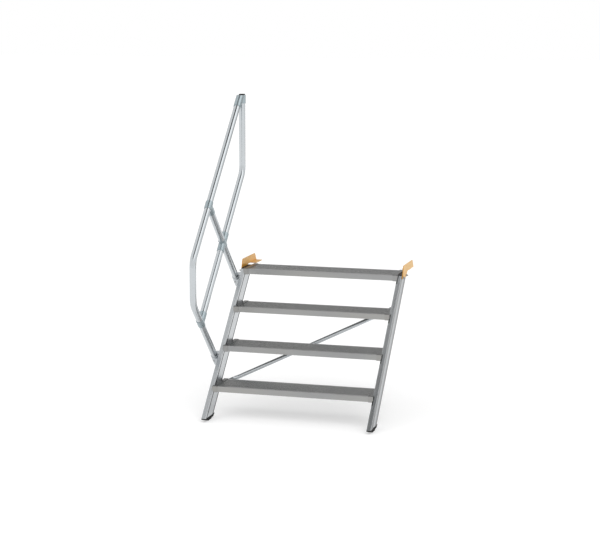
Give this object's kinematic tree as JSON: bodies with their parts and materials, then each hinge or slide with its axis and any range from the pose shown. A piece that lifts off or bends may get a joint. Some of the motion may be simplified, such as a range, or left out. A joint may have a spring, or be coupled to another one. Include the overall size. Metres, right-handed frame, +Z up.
{
  "type": "aluminium stair",
  "caption": "Straight aluminium stair: ribbed treads between sloping stringers, a tube handrail on one side, a rear diagonal brace and brackets that hang it on a landing.",
  "frame": {"origin": "middle of the flat underside of the left top bracket's level flange, where it rests on the landing", "axes": "+X across the stair to the right as seen from below, +Y back and up the flight, +Z up"},
  "size_m": [1.0993, 1.1823, 1.9125],
  "materials": {
    "stringer": "extruded, satin",
    "tread": "extruded, ribbed on top",
    "tread_fitting": "satin",
    "rail_tube": "bright drawn tube",
    "brace": "drawn tube, ends pressed flat",
    "connector": "blue-grey coated casting",
    "post_bracket": "cast, satin",
    "top_bracket": "orange-yellow coated sheet",
    "foot_rubber": "black, matt",
    "cap_plastic": "black",
    "fastener": "zinc plated"
  },
  "bodies": {
    "root": {"left_stringer": "stringer", "left_foot": "foot_rubber", "left_stringer_cap": "cap_plastic", "left_top_bracket": "top_bracket", "left_brace_spacer": "fastener", "right_stringer": "stringer", "right_foot": "foot_rubber", "right_stringer_cap": "cap_plastic", "right_top_bracket": "top_bracket", "right_brace_spacer": "fastener", "tread_1": "tread", "tread_1_left_fitting": "tread_fitting", "tread_1_right_fitting": "tread_fitting", "tread_2": "tread", "tread_2_left_fitting": "tread_fitting", "tread_2_right_fitting": "tread_fitting", "tread_3": "tread", "tread_3_left_fitting": "tread_fitting", "tread_3_right_fitting": "tread_fitting", "tread_4": "tread", "tread_4_left_fitting": "tread_fitting", "tread_4_right_fitting": "tread_fitting", "handrail": "rail_tube", "upper_post": "rail_tube", "lower_knee_rail": "rail_tube", "upper_knee_rail": "rail_tube", "handrail_connector": "connector", "middle_connector": "connector", "lower_connector": "connector", "top_connector": "connector", "lower_post_bracket": "post_bracket", "upper_post_bracket": "post_bracket", "upright_end_plug": "cap_plastic", "brace": "brace"}
  },
  "joints": []
}
